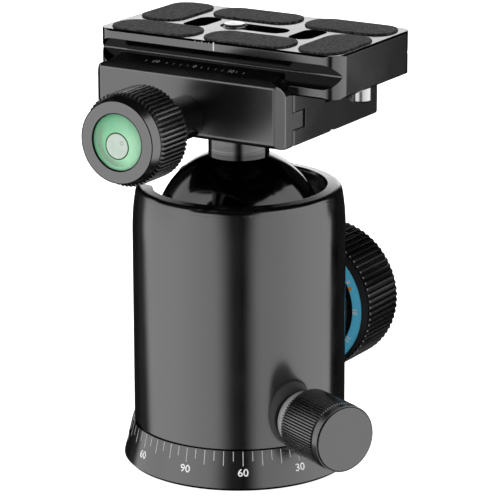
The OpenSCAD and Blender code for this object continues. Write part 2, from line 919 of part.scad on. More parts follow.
module clamp_knob() {
    color("#1e1f21") on_clamp_axis() difference() {
        union() {
            rotate_extrude() polygon([
                [0, knob_in], [cone_r - cone_edge, knob_in], [cone_r, knob_in + cone_edge],
                [cone_r, knob_out - face_cone], [face_r + face_lip, knob_out - face_edge], [face_r, knob_out],
                [0, knob_out]
            ]);
            ridged_band(clamp_knob_r, ridge_depth, clamp_teeth,
                knob_in, knob_out - face_cone, ridge_break, cone_in);
        }
        rod(level_r + fit, level_in, knob_out + past);
        rod(head_r, level_in - head_t, knob_out);
        rod(screw_r, knob_in - past, knob_out);
    }
}

module level_vial() {
    color("#8fd8a8") on_clamp_axis() rotate_extrude() difference() {
        translate([0, level_in]) square([level_r, level_out - level_in]);
        translate([-past, level_in + level_floor])
            square([level_r - level_wall + past, bubble_out - level_in - level_floor]);
    }
}

module level_fluid() {
    color("#7fe0a0") on_clamp_axis() difference() {
        rod(level_r - level_wall, level_in + level_floor, bubble_out);
        rod(bubble_r, bubble_in, level_out);
    }
}

module level_bubble() {
    color("#eef5ee") on_clamp_axis() rod(bubble_r, bubble_in, bubble_out);
}

// ---- quick-release plate ----

// The same thing at both ends of the plate, turned by half a turn
module both_ways() {
    for (a = [0, 180]) rotate([0, 0, a]) children();
}

module at_plate(z) { translate([0, plate_y, z]) children(); }

module quick_plate() {
    h = plate_t;
    w = plate_half;
    color("#2b2c2f") at_plate(plate_z) difference() {
        intersection() {
            translate([0, plate_l / 2, 0]) rotate([90, 0, 0]) linear_extrude(plate_l) polygon([
                [-w + plate_edge, 0], [w - plate_edge, 0], [w, plate_edge], [w, band_h],
                [w - groove_d, h / 2 - root_half], [w - groove_d, h / 2 + root_half], [w, h - band_h],
                [w, h - plate_edge], [w - plate_edge, h], [plate_edge - w, h], [-w, h - plate_edge],
                [-w, h - band_h], [groove_d - w, h / 2 + root_half], [groove_d - w, h / 2 - root_half],
                [-w, band_h], [-w, plate_edge]
            ]);
            linear_extrude(h) round_rect([plate_w, plate_l], plate_corner);
            translate([-w, 0, 0]) rotate([90, 0, 90]) linear_extrude(plate_w) polygon([
                [-plate_l / 2 + plate_edge, 0], [plate_l / 2 - plate_edge, 0], [plate_l / 2, plate_edge],
                [plate_l / 2, h - plate_edge], [plate_l / 2 - plate_edge, h], [plate_edge - plate_l / 2, h],
                [-plate_l / 2, h - plate_edge], [-plate_l / 2, plate_edge]
            ]);
        }
        both_ways() {
            for (p = pads) translate([p[1], p[2], h - pad_t + pad_out])
                linear_extrude(pad_t)
                    round_rect([p[0][0] + 2 * pad_gap, p[0][1] + 2 * pad_gap], pad_corner + pad_gap);
            translate([0, strap_y, -past]) linear_extrude(h + 2 * past) round_rect(strap_hole, strap_corner);
            translate([0, stop_y, 0]) rod(stop_r, -past, stop_depth);
        }
        translate([0, 0, -past]) linear_extrude(h + 2 * past) slot(slot_w, slot_l);
        translate([0, 0, -past]) linear_extrude(slot_sink + past)
            slot(slot_sink_w, slot_l + slot_sink_w - slot_w);
    }
}

module plate_pads() {
    color("#3a3a3b") at_plate(plate_top - pad_t + pad_out) both_ways()
        for (p = pads) translate([p[1], p[2], 0])
            linear_extrude(pad_t) round_rect(p[0], pad_corner);
}

module screw_clip() {
    color("silver") translate([0, camera_y, 0]) at_plate(0)
        tube(clip_r, camera_thread_r + clip_room,
            plate_z + slot_sink - clip_t - slip, plate_z + slot_sink - slip);
}

module camera_screw() {
    head_top = plate_z + slot_sink - clip_t - 2 * slip;
    color("silver") translate([0, camera_y, 0]) at_plate(0) difference() {
        union() {
            rod(camera_head_r, plate_z + head_rise, head_top);
            rotate_extrude() polygon([
                [0, head_top - past], [camera_thread_r, head_top - past],
                [camera_thread_r, plate_top + camera_screw_out - camera_tip],
                [camera_thread_r - camera_tip, plate_top + camera_screw_out],
                [0, plate_top + camera_screw_out]
            ]);
        }
        translate([-camera_head_r, -head_cut_w / 2, plate_z])
            cube([2 * camera_head_r, head_cut_w, head_rise + head_cut_d]);
    }
}

module stop_screws() {
    color("silver") at_plate(plate_z) both_ways() translate([0, stop_y, 0]) difference() {
        union() {
            rod(stop_r, -past, stop_depth - stop_room);
            rotate_extrude() polygon([
                [0, 0], [stop_head_r, 0], [stop_head_r, stop_edge - stop_head_t],
                [stop_head_r - stop_edge, -stop_head_t], [0, -stop_head_t]
            ]);
        }
        translate([0, 0, -stop_head_t - eps]) cylinder(r = stop_key_r, h = stop_key_d, $fn = hex);
    }
}

pan_base();
thread_bush();
base_screws();
pan_spindle();
pan_washer();
spindle_nut();
housing();
housing_floor();
upper_ball_ring();
wedge_bed();
lock_wedge();
pressure_plate();
ball_seat();
ball_stem();
stem_bolt();
lock_boss();
lock_shaft();
lock_knob();
lock_knob_cap();
dial_ring();
dial_scale();
pan_plug();
pan_stud();
pan_knob();
clamp_base();
jaw_pins();
jaw_springs();
movable_jaw();
clamp_screw();
knob_sleeve();
clamp_knob();
level_vial();
level_fluid();
level_bubble();
quick_plate();
plate_pads();
screw_clip();
camera_screw();
stop_screws();
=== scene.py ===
# %% [markdown]
# # A tripod ball head, dressed for the studio
# The head's parts are already solid models. They arrive here as a fixed frame, in metres, standing
# on their own base. This lesson gives them light and finishes, and adds what is only printed,
# engraved or cut very fine: scales, numbers, a knurl and the spirit of the bubble level. Each new
# piece is a surface worked out with numpy and told which body it moves with.

# %% Load the frame
import json
import math

import bmesh
import bpy
import numpy as np
from mathutils import Matrix, Vector


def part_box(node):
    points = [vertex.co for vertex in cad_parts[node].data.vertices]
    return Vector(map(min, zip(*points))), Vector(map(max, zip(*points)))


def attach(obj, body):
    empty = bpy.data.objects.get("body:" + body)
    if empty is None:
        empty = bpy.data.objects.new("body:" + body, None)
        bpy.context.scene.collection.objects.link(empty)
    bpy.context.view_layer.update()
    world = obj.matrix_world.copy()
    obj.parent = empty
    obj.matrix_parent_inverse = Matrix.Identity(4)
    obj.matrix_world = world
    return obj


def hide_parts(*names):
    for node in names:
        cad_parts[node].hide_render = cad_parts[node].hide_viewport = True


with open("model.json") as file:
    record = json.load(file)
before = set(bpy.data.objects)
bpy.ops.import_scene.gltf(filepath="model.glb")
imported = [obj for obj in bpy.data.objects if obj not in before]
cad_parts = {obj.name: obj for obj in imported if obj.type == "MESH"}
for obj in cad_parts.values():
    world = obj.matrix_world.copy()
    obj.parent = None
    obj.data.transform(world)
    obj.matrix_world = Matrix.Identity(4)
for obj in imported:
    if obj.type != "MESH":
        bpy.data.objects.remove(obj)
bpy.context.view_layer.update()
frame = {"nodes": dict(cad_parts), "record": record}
MM = 0.001

# %% [markdown]
# ## Camera
# A small product is shot from some way off with a long lens, so that upright walls stay almost
# parallel. The camera could be aimed with a Track To constraint. It is set here by its place and
# the three directions of its picture, because those fix its roll as well.

# %% Camera
eye = Vector((-615.876, -379.126, 263.227)) * MM
ahead = Vector((0.81998173, 0.50048507, -0.27774926))
across = Vector((0.52054203, -0.85383417, -0.00178688))
up = Vector((0.23804612, 0.14311496, 0.96065194))
lens = bpy.data.cameras.new("camera")
lens.sensor_width = 36
lens.lens = 213.794
lens.clip_start = 0.05
lens.clip_end = 20
camera = bpy.data.objects.new("camera", lens)
camera.matrix_world = Matrix((across, up, -ahead)).transposed().to_4x4()
camera.location = eye
bpy.context.scene.collection.objects.link(camera)
bpy.context.scene.camera = camera
bpy.context.scene.view_settings.view_transform = "Standard"
front = math.degrees(math.atan2(eye.y, eye.x))
print("camera stands at %.1f degrees, %.0f mm away" % (front, eye.length / MM))

# %% [markdown]
# ## Mesh helpers
# A piece is a set of corner points and faces. `mesh_piece` makes the object and hands it to the
# body that carries it. Every knob on this head turns round a level
# axis, so one frame of three directions serves the turned solids (`lathe`) and the rings (`ring`).
# Both could be made with a Screw modifier. Worked out as a formula they come closed at their ends,
# with every point on the true circle.

# %% Mesh helpers
def mesh_piece(name, points, faces, finish, body=None, slot=None, smooth=False):
    """An object from points in mm and faces. Its place is in its mesh."""
    mesh = bpy.data.meshes.new(name)
    mesh.from_pydata((np.asarray(points, float) * MM).tolist(), [], [list(f) for f in faces])
    mesh.polygons.foreach_set("use_smooth", [smooth] * len(mesh.polygons))
    mesh.materials.append(finish)
    obj = bpy.data.objects.new(name, mesh)
    bpy.context.scene.collection.objects.link(obj)
    if body:
        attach(obj, body)
    return obj


def point_values(mesh, name, values):
    """One number for each corner point, which a material can read by its name."""
    layer = mesh.attributes.new(name, "FLOAT", "POINT")
    layer.data.foreach_set("value", np.asarray(values, np.float32).ravel())


def grid_faces(rows, columns, wrap_rows=False, wrap_columns=False):
    """Quads of a rows by columns grid of points, numbered row by row."""
    r = np.arange(rows if wrap_rows else rows - 1)[:, None]
    c = np.arange(columns if wrap_columns else columns - 1)[None, :]
    r2, c2 = (r + 1) % rows, (c + 1) % columns
    quads = np.stack([r * columns + c, r * columns + c2, r2 * columns + c2, r2 * columns + c], -1)
    return quads.reshape(-1, 4)


def circle(steps):
    """The angles of so many even steps round a circle, in radians."""
    return np.radians(np.arange(steps) * 360.0 / steps)


def axis_frame(heading):
    """A level axis that points to heading, in degrees: unit vectors along it, beside it and up."""
    turn = math.radians(heading)
    along = np.array([math.cos(turn), math.sin(turn), 0])
    beside = np.array([-math.sin(turn), math.cos(turn), 0])
    return along, beside, np.array([0, 0, 1.0])


def axis_place(heading, height, aside):
    """A point on the axis, at height over the base, moved by aside: so much beside it and upwards."""
    along, beside, upward = axis_frame(heading)
    return np.array([0, 0, height]) + aside[0] * beside + aside[1] * upward


def lathe(heading, height, stations, t=circle(96), relief=0.0, aside=(0.0, 0.0)):
    """A turned solid on a level axis. A station is (s, r) or (s, r, c): s along the axis, r out from
    it, and c the share of relief that is cut off r, where relief has one value for each angle t. A
    point is s*along + (r - c*relief)*(cos t*beside + sin t*upward), and each end closes in a pole."""
    along, beside, upward = axis_frame(heading)
    s, r, c = np.array([(*station, 0)[:3] for station in stations]).T
    radius = r[1:-1, None] - c[1:-1, None] * (relief * np.ones(len(t)))
    spokes = np.cos(t)[:, None] * beside + np.sin(t)[:, None] * upward
    skin = (s[1:-1, None, None] * along + radius[..., None] * spokes).reshape(-1, 3)
    points = np.concatenate([skin, [s[0] * along, s[-1] * along]]) + axis_place(heading, height, aside)
    n = len(t)
    i = np.arange(n)
    last = len(skin) - n + i
    start_fan = np.stack([(i + 1) % n, i, np.full(n, len(skin))], -1)
    end_fan = np.stack([last, len(skin) - n + (i + 1) % n, np.full(n, len(skin) + 1)], -1)
    sides = grid_faces(len(s) - 2, n, wrap_columns=True)
    return points, sides.tolist() + start_fan.tolist() + end_fan.tolist()


def ring(heading, height, s, r, tube, aside=(0.0, 0.0), columns=96, sides=8):
    """A torus round a level axis: a circle of radius tube, carried round a circle of radius r at s.
    A point is (s - tube*cos v)*along + (r + tube*sin v)*(cos t*beside + sin t*upward)."""
    along, beside, upward = axis_frame(heading)
    t = circle(columns)[None, :, None]
    v = circle(sides)[:, None, None]
    spokes = np.cos(t) * beside + np.sin(t) * upward
    points = (s - tube * np.cos(v)) * along + (r + tube * np.sin(v)) * spokes
    points = points + axis_place(heading, height, aside)
    return points.reshape(-1, 3), grid_faces(sides, columns, True, True).tolist()


def gather(parts):
    """One list of points and one of faces from several."""
    points, faces, start = [], [], 0
    for some, corners in parts:
        points.append(some)
        faces += [[i + start for i in face] for face in corners]
        start += len(some)
    return np.concatenate(points), faces


def box_mm(node):
    """A solid's lowest and highest corner at rest, in mm."""
    return np.array(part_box(node)) / MM


def axis_z(node):
    """Height of a round solid's level axis: the middle of its box, in mm."""
    return box_mm(node)[:, 2].mean()


print("mesh helpers ready, the level's axis lies at z = %.2f mm" % axis_z("clamp_knob"))

# %% [markdown]
# ## Node helpers
# Every finish here is built from the same few nodes: the piece's own coordinates, a noise, a range
# that turns the noise into a useful number, a rounded edge and a bump. In the shader editor they
# would be boxes joined by hand. Here `wire` adds one and joins its inputs in one call, and each
# short helper below gives back the socket that the next one needs.

# %% Node helpers
def wire(tree, kind, settings=None, **inputs):
    """A new node. Inputs are values or other nodes' sockets, by name, or i0, i1, ... by place."""
    node = tree.nodes.new("ShaderNode" + kind)
    for key, value in (settings or {}).items():
        setattr(node, key, value)
    for key, value in inputs.items():
        by_place = key[0] == "i" and key[1:].isdigit()
        socket = node.inputs[int(key[1:]) if by_place else key.replace("_", " ")]
        if isinstance(value, bpy.types.NodeSocket):
            tree.links.new(value, socket)
        else:
            socket.default_value = value
    return node


def blank_finish(name):
    """A material with only its shader and output, and the coordinates of the object itself."""
    material = bpy.data.materials.new(name)
    material.use_nodes = True
    tree = material.node_tree
    return material, tree, tree.nodes["Principled BSDF"], wire(tree, "TexCoord").outputs["Object"]


def feed(tree, shader, **sockets):
    """Join sockets to the shader's inputs, by name."""
    for key, value in sockets.items():
        tree.links.new(value, shader.inputs[key.replace("_", " ")])


def noise(tree, place, scale, detail=2.0, **more):
    """Soft clouds of values round one half, about scale of them to the metre."""
    return wire(tree, "TexNoise", Vector=place, Scale=scale, Detail=detail, **more).outputs[0]


def spread(tree, value, low, high, start=0.3, end=0.7, kind="LINEAR"):
    """value carried over from start..end to low..high, and held at those ends."""
    return wire(tree, "MapRange", {"interpolation_type": kind}, Value=value,
                From_Min=start, From_Max=end, To_Min=low, To_Max=high).outputs[0]


def eased(tree, value, start, end):
    """0 at start, 1 at end, with a soft beginning and end."""
    return spread(tree, value, 0.0, 1.0, start, end, "SMOOTHSTEP")


def math_node(tree, operation, *values, clamp=False):
    """Arithmetic on numbers."""
    inputs = {"i%d" % i: value for i, value in enumerate(values)}
    return wire(tree, "Math", {"operation": operation, "use_clamp": clamp}, **inputs).outputs[0]


def dot(tree, a, b):
    """How far the vectors a and b point the same way."""
    return wire(tree, "VectorMath", {"operation": "DOT_PRODUCT"}, i0=a, i1=b).outputs["Value"]


def dimmed(tree, colour, share):
    """A colour times a number."""
    return wire(tree, "VectorMath", {"operation": "SCALE"}, i0=colour, Scale=share).outputs[0]


def blend(tree, share, first, second):
    """A colour between two others."""
    return wire(tree, "Mix", {"data_type": "RGBA"}, i0=share, i6=first, i7=second).outputs[2]


def softened(tree, edge, samples=4):
    """The surface's direction with each sharp edge rounded by so many mm."""
    return wire(tree, "Bevel", {"samples": samples}, Radius=edge * MM).outputs[0]


def raised(tree, height, strength, depth, **below):
    """A bump of depth mm, on top of another direction given as Normal."""
    return wire(tree, "Bump", Strength=strength, Distance=depth * MM, Height=height, **below).outputs[0]


def ramp(tree, value, stops):
    """A grey that goes through two stops, each (position, brightness)."""
    node = wire(tree, "ValToRGB", Fac=value)
    for element, (position, grey) in zip(node.color_ramp.elements, stops):
        element.position = position
        element.color = (grey, grey, grey, 1)
    return node.outputs[0]


def off_axis(tree, place, z):
    """(0, y, z) of a point from the axis that runs along x at height z, in mm."""
    return wire(tree, "Mapping", Vector=place, Location=(0, 0, -z), Scale=(0, 1 / MM, 1 / MM)).outputs[0]


def from_axis(tree, spot):
    """Distance from that axis."""
    return wire(tree, "VectorMath", {"operation": "LENGTH"}, i0=spot).outputs["Value"]


print("node helpers ready")

# %% [markdown]
# ## Stage
# The set is a white floor and a white surround, with nothing else in view. Neither is seen by the
# gloss of the metal: black anodised metal only shows what it mirrors, and a white room all round
# would turn the head grey. So the gloss sees a dim room in its place, and the shape is drawn by
# softboxes and the dark between them. Ray visibility, which each object keeps by kind of ray, does
# in one scene what a studio does with black cloth.

# %% Floor and surround
def glow(name, strength):
    """A lamp surface: white light only, of one strength."""
    material = bpy.data.materials.new(name)
    material.use_nodes = True
    tree = material.node_tree
    tree.nodes.remove(tree.nodes["Principled BSDF"])
    lamp = wire(tree, "Emission", Color=(1, 1, 1, 1), Strength=strength)
    feed(tree, tree.nodes["Material Output"], Surface=lamp.outputs[0])
    return material, tree, lamp


def seen_by(obj, camera=False, diffuse=False, glossy=False, transmission=False):
    """Say which kinds of ray meet a stage object. None of them throws a shadow."""
    obj.visible_camera = camera
    obj.visible_diffuse = diffuse
    obj.visible_glossy = glossy
    obj.visible_transmission = transmission
    obj.visible_shadow = False
    obj.visible_volume_scatter = False


room_r = 6000
room_low = -20
room_steps = 72
room_rows = 12
dim_share = 0.9
around = circle(room_steps)
rim = np.stack([room_r * np.cos(around), room_r * np.sin(around), np.zeros(room_steps)], -1)
slices = [(0, i + 1, (i + 1) % room_steps + 1) for i in range(room_steps)]
floor_white, tree, lamp = glow("floor_white", 0.88)
paint = wire(tree, "BsdfDiffuse", Color=(0.9, 0.9, 0.9, 1))
lit_paint = wire(tree, "AddShader", i0=lamp.outputs[0], i1=paint.outputs[0])
feed(tree, tree.nodes["Material Output"], Surface=lit_paint.outputs[0])
floor = mesh_piece("floor", np.concatenate([[(0, 0, 0)], rim]), slices, floor_white)
seen_by(floor, camera=True, diffuse=True)

# The surround is a dome that starts below the floor. The dim room stands just inside it.
lift = np.radians(np.linspace(room_low, 90, room_rows))[:, None]
dome = room_r * np.stack([np.cos(lift) * np.cos(around), np.cos(lift) * np.sin(around),
                          np.sin(lift) * np.ones(room_steps)], -1).reshape(-1, 3)
dome_faces = grid_faces(room_rows, room_steps, wrap_columns=True)
seen_by(mesh_piece("surround", dome, dome_faces, glow("surround_white", 1.0)[0]), camera=True)
dim_room = mesh_piece("dim_room", dome * dim_share, dome_faces, glow("dim_room_grey", 0.015)[0])
seen_by(dim_room, glossy=True)

world = bpy.data.worlds.new("room")
bpy.context.scene.world = world
world.use_nodes = True
sky = world.node_tree.nodes["Background"]
sky.inputs["Color"].default_value = (0.5, 0.5, 0.5, 1)
sky.inputs["Strength"].default_value = 3.4
world.cycles_visibility.glossy = False
print("floor and surround placed")

# %% [markdown]
# ## Softboxes
# A round body mirrors everything in front of it, squeezed towards its edges. A wide softbox at each
# side shows on it as one broad band, and the gap between them as a dark stripe down the middle. Area
# lamps would give hard, even rectangles. The boxes here are curved sheets round the head whose
# brightness is worked out point by point from the direction, because real ones are brightest in the
# middle, fade at their edges and lean a little. A third sheet, far behind, is the lit paper that
# gives the flat top its sheen, and a small dim card, a flag, keeps the light off the clamp's end.

# %% Softboxes
def ease(x, start, end):
    """0 before start, 1 after end, and the curve 3t^2 - 2t^3 between them. end may be the lower."""
    t = np.clip((x - start) / (end - start), 0, 1)
    return t * t * (3 - 2 * t)


sheet_columns = 241
sheet_rows = 81
head_middle = 60


def softbox(name, sweep, heights, radius, brightness):
    """A sheet on a cylinder round the head: (R cos a, R sin a, z). sweep is its reach in degrees
    from the camera's side, and brightness(a, e) its light at azimuth a and elevation e."""
    a, z = np.meshgrid(np.linspace(*sweep, sheet_columns), np.linspace(*heights, sheet_rows))
    turn = np.radians(front + a)
    points = np.stack([radius * np.cos(turn), radius * np.sin(turn), z], -1).reshape(-1, 3)
    material, tree, lamp = glow(name + "_glow", 1.0)
    stored = wire(tree, "Attribute", {"attribute_name": "brightness"})
    feed(tree, lamp, Strength=stored.outputs["Fac"])
    panel = mesh_piece(name, points, grid_faces(sheet_rows, sheet_columns), material, smooth=True)
    elevation = np.degrees(np.arctan2(z - head_middle, radius))
    point_values(panel.data, "brightness", brightness(a, elevation))
    seen_by(panel, diffuse=True, glossy=True, transmission=True)


full = 1.2
spill = 0.05
# The camera looks down by 16 degrees, so an upright wall mirrors this elevation to it.
level_look = -16


def left_light(a, e):
    """Full between an inner edge that bends away as (e - level_look)^2 and an outer edge that leans
    out above the head and draws in below it. Its tone is dimmer towards the inner edge and dips a
    little high up at the far end, and its crest rises towards the camera. A faint spill lies on the
    whole sheet below 30 degrees."""
    inner = 0.0075 * (e - level_look) ** 2
    outer = 123 + 0.45 * np.maximum(e - 2, 0) + 1.5 * np.minimum(e + 15.2, 0)
    crest = 34 + 20 * np.clip((a + 112) / 45, 0, 1)
    dip = 1 - 0.12 * ease(a, -60, -90) * ease(e, -10, 0)
    tone = 0.76 + 0.2 * ease(a, -26, -80)
    edges = ease(a, -4 - inner, -29 - inner) * ease(a, -outer - 5, -outer + 5)
    return full * dip * tone * edges * ease(e, crest + 2, crest - 2) + spill * ease(e, 30, 10)


def right_light(a, e):
    """As the left one, with a straighter inner edge, a sharp outer edge and a crest that falls away
    from the camera. It has spill only in the narrow strip where the two sheets lap."""
    inner = 0.004 * (e - level_look) ** 2
    outer = 115.8 + 0.25 * np.maximum(e, 0)
    crest = 54 - 0.31 * np.clip(a - 66, 0, 60)
    fade = 4 + 6 * ease(a, 80, 60)
    tone = 0.70 + 0.25 * ease(a, 24, 90)
    edges = ease(a, 3 + inner, 23 + inner) * ease(a, outer + 1, outer - 1)
    lap = spill * ease(e, 30, 10) * ease(a, 2, 0.5)
    return full * tone * edges * ease(e, crest + fade, crest - fade) + lap


def back_light(a, e):
    """A bright strip up to 13 degrees high and a faint one above it, both round azimuth 180. They
    reach 20 degrees to the right side of the head and 13 to the left."""
    reach = np.where(a < 180, 20, 13)
    strips = 1.7 * ease(e, 21, 12.8) + 0.08 * ease(e, 34, 22)
    return strips * ease(abs(a - 180), reach, reach - 6)


box_heights = (-1900, 4200)
box_distance = 2400
paper_heights = (-60, 1500)
paper_distance = 2000
softbox("softbox_left", (-140, 2), box_heights, box_distance, left_light)
softbox("softbox_right", (-2, 134), box_heights, box_distance, right_light)
card_near = (115.6, -113.5)
card_far = (170, -92)
card_low = 45
card_high = 118
card = [(*card_near, card_low), (*card_far, card_low), (*card_far, card_high), (*card_near, card_high)]
seen_by(mesh_piece("flag", card, [(0, 1, 2, 3)], glow("flag_black", 0.1)[0]), glossy=True)
softbox("paper_behind", (155, 205), paper_heights, paper_distance, back_light)
print("two softboxes, a flag and the paper behind placed")

# %% [markdown]
# ## Anodised metal
# The housing, clamp and plate are aluminium, blasted with fine beads and dyed black in an anodising
# bath. A plain black plastic shader would show white glare on top of black. The surface stays metal
# here, so it mirrors with one dark tint and no white glare, a little blurred by the blasting. Two
# noises do the rest: a coarse one moves the roughness slightly, as handling does, and a very fine
# one is the blasted grain. A bevel node rounds the sharp edges by a hair and shows where they lie,
# and there a painted highlight makes the colour a shade lighter. In the grooves of a knurl painted
# shade keeps the colour black, so a knob's finish can fall off with the distance from its axis, and
# faces that look down, as a dovetail's do, get painted shade too. The ball is lapped to a darker
# gloss, and its stem keeps the fine rings of the lathe.

# %% Anodised finishes
def dark_hollows(tree, place, colour, hollow):
    """Painted shade in a knob's grooves. hollow is (z, black_r, full_r, inner_r, low): round the level
    axis at height z the colour keeps the share low at radius black_r, all of it from full_r outwards,
    and all of it inside inner_r."""
    z, black_r, full_r, inner_r, low = hollow
    out = from_axis(tree, off_axis(tree, place, z))
    crown = spread(tree, out, low, 1.0, black_r, full_r)
    face = spread(tree, out, 0.0, 1.0, inner_r, inner_r - 0.1)
    return dimmed(tree, colour, math_node(tree, "MAXIMUM", crown, face))


def dark_slopes(tree, colour, under):
    """Painted shade: faces that look down at 45 degrees, as a dovetail's do, keep only the share under."""
    facing = wire(tree, "SeparateXYZ", Vector=wire(tree, "TexCoord").outputs["Normal"]).outputs["Z"]
    off_slope = math_node(tree, "ABSOLUTE", math_node(tree, "ADD", facing, 0.7))
    share = ramp(tree, off_slope, ((0.15, under), (0.22, 1)))
    return wire(tree, "VectorMath", {"operation": "MULTIPLY"}, i0=colour, i1=share).outputs[0]


def anodised(name, tint, rough, grain=0.06, edge=0.12, edge_lift=1.6, hollow=None, under=1.0, metallic=1.0):
    """Dark dyed metal: tint is what it mirrors, rough its blur, grain the blasting's bump and edge
    the broken corner in mm, where a painted highlight makes the colour edge_lift times as light.
    The corner lies where the rounded direction departs from the true one."""
    sway = 0.025
    material, tree, shader, place = blank_finish(name)
    soft = spread(tree, noise(tree, place, 90.0, 3.0), rough - sway, rough + sway)
    corner = softened(tree, edge, 8 if edge > 0.3 else 4)
    blasted = raised(tree, noise(tree, place, 5200.0), grain, 0.05, Normal=corner)
    sharp = wire(tree, "NewGeometry").outputs["Normal"]
    # Painted highlight: the colour is lighter where the rounded edge departs from the true face.
    highlight_share = spread(tree, dot(tree, sharp, corner), 0.0, 1.0, 0.995, 0.93)
    highlight_grey = min(1, tint * edge_lift)
    colour = blend(tree, highlight_share, (tint, tint, tint * 1.015, 1), (highlight_grey, highlight_grey, highlight_grey, 1))
    # Painted shade in the grooves of a knob.
    if hollow:
        colour = dark_hollows(tree, place, colour, hollow)
    # Painted shade on the faces that look down.
    if under < 1:
        colour = dark_slopes(tree, colour, under)
    feed(tree, shader, Base_Color=colour, Roughness=soft, Normal=blasted)
    shader.inputs["Metallic"].default_value = metallic
    return material


def ball_coat(name, split):
    """A dark gloss. Above split, in m, the stem is paler and keeps the lathe's rings."""
    material, tree, shader, place = blank_finish(name)
    height = wire(tree, "SeparateXYZ", Vector=place).outputs["Z"]
    stem = spread(tree, height, 0.0, 1.0, split, split + 0.0003)
    rings = wire(tree, "Mapping", Vector=place, Scale=(80, 80, 5200)).outputs[0]
    marks = noise(tree, rings, 1.0)
    colour = blend(tree, stem, (0.095, 0.095, 0.097, 1), spread(tree, marks, 0.11, 0.19))
    soft = spread(tree, stem, 0.1, 0.11, 0.0, 1.0)
    cut = raised(tree, math_node(tree, "MULTIPLY", marks, stem), 0.3, 0.02)
    feed(tree, shader, Base_Color=colour, Roughness=soft, Normal=cut)
    shader.inputs["Metallic"].default_value = 1.0
    return material


finishes = {
    "black_anodised": anodised("black_anodised", 0.155, 0.16, metallic=0.99),
    "plate_anodised": anodised("plate_anodised", 0.155, 0.15, under=0.25),
    "knob_black": anodised("knob_black", 0.185, 0.25, grain=0.1),
    "ball_finish": ball_coat("ball_finish", 0.0805),
}
print("anodised finishes:", sorted(finishes))

# %% [markdown]
# ## Bare metals
# Screws and shafts are turned in a lathe, which leaves fine rings round their axis. A wave texture
# would draw them too evenly. A noise that is stretched along two directions and squeezed along the
# third gives such rings for a few node inputs, and it never repeats.

# %% Turned metals
def turned(name, colour, rough):
    """Bare metal with tool marks: a noise squeezed along z into thin rings. The bare pieces that show
    stand upright or are small, so one direction serves them all."""
    material, tree, shader, place = blank_finish(name)
    rings = wire(tree, "Mapping", Vector=place, Scale=(400, 400, 6000)).outputs[0]
    marks = noise(tree, rings, 1.0)
    soft = spread(tree, marks, rough - 0.04, rough + 0.05)
    cut = raised(tree, marks, 0.08, 0.02, Normal=softened(tree, 0.12))
    feed(tree, shader, Roughness=soft, Normal=cut)
    shader.inputs["Base Color"].default_value = (*colour, 1)
    shader.inputs["Metallic"].default_value = 1.0
    return material


finishes["bright_steel"] = turned("bright_steel", (0.72, 0.72, 0.73), 0.22)
finishes["bearing_steel"] = turned("bearing_steel", (0.45, 0.45, 0.46), 0.3)
finishes["plain_aluminium"] = turned("plain_aluminium", (0.62, 0.63, 0.64), 0.35)
finishes["brass"] = turned("brass", (0.7, 0.52, 0.24), 0.28)
print("turned metals: 4, finishes so far:", len(finishes))

# %% [markdown]
# ## Plastics and rubber
# The ball's seats and the washer are black acetal, the dial's ring a black plastic with a blue
# painted face, and the marks are paint, which is finished as a plastic too. The pads on the plate
# are rubber with a coarse pebble grain. Modelled pebbles would take millions of faces, so a noise
# lifts the surface and also lightens the tops of the pebbles, which catch the light.

# %% Plastics and rubber
def moulded(name, colour, rough, grain=2600.0, vary=0.06, gloss=0.5):
    """Plastic with a fine skin: a noise moves its colour by the share vary, and lifts it a little."""
    material, tree, shader, place = blank_finish(name)
    skin = noise(tree, place, grain)
    tint = dimmed(tree, colour, spread(tree, skin, 1 - vary, 1 + vary))
    rise = raised(tree, skin, 0.1, 0.03, Normal=softened(tree, 0.1))
    feed(tree, shader, Base_Color=tint, Normal=rise)
    shader.inputs["Roughness"].default_value = rough
    shader.inputs["Specular IOR Level"].default_value = gloss
    return material


def pebbled(name, hollow, top):
    """Rubber whose pebbles are a sharp step in a noise: grey hollow below it and, as a painted highlight,
    the lighter top above.
    """
    material, tree, shader, place = blank_finish(name)
    pebble = noise(tree, place, 1350.0, 3.0, Roughness=0.7)
    tone = ramp(tree, pebble, ((0.46, hollow), (0.54, top)))
    feed(tree, shader, Base_Color=tone, Normal=raised(tree, pebble, 0.35, 0.06))
    shader.inputs["Roughness"].default_value = 0.62
    return material


finishes["acetal"] = moulded("acetal", (0.015, 0.015, 0.016), 0.4, gloss=0.2)
finishes["dial_black"] = moulded("dial_black", (0.004, 0.004, 0.005), 0.5, gloss=0.06)
finishes["dial_blue"] = moulded("dial_blue", (0.13, 0.68, 1.0), 0.35, vary=0.1)
finishes["pad_rubber"] = pebbled("pad_rubber", 0.004, 0.066)
scale_white = moulded("scale_white", (0.85, 0.85, 0.85), 0.5, gloss=0.3)
scale_grey = moulded("scale_grey", (0.28, 0.28, 0.28), 0.5, gloss=0.3)
scale_orange = moulded("scale_orange", (0.85, 0.32, 0.03), 0.5, gloss=0.3)
# Painted shadow, for the thin dark rings round the knobs' faces and the level's glass.
shadow_line_black = moulded("shadow_line_black", (0.004, 0.004, 0.004), 0.6, gloss=0.05)
print("plastics and rubber ready, finishes so far:", len(finishes))

# %% [markdown]
# ## Finishes of the bubble level
# The level is a clear cup with green spirit and an air bubble. Real refraction through three thin
# layers is slow to render, so the cup is a clear coat that lets most light straight through, and
# the spirit carries the colour. What refraction and the light would do is painted into its colour:
# it has painted light on one side, and painted shade makes a dull crescent where the cup's wall
# shows through the liquid.

# %% Level finishes
def clear(name, tint, see):
    """Thin clear plastic: see is the share of light that goes straight through."""
    material, tree, shader, place = blank_finish(name)
    feed(tree, shader, Roughness=spread(tree, noise(tree, place, 300.0), 0.05, 0.1, 0.0, 1.0))
    shader.inputs["Base Color"].default_value = (*tint, 1)
    through = wire(tree, "BsdfTransparent", Color=(0.97, 1.0, 0.98, 1))
    mixed = wire(tree, "MixShader", i0=see, i1=shader.outputs[0], i2=through.outputs[0])
    feed(tree, tree.nodes["Material Output"], Surface=mixed.outputs[0])
    return material


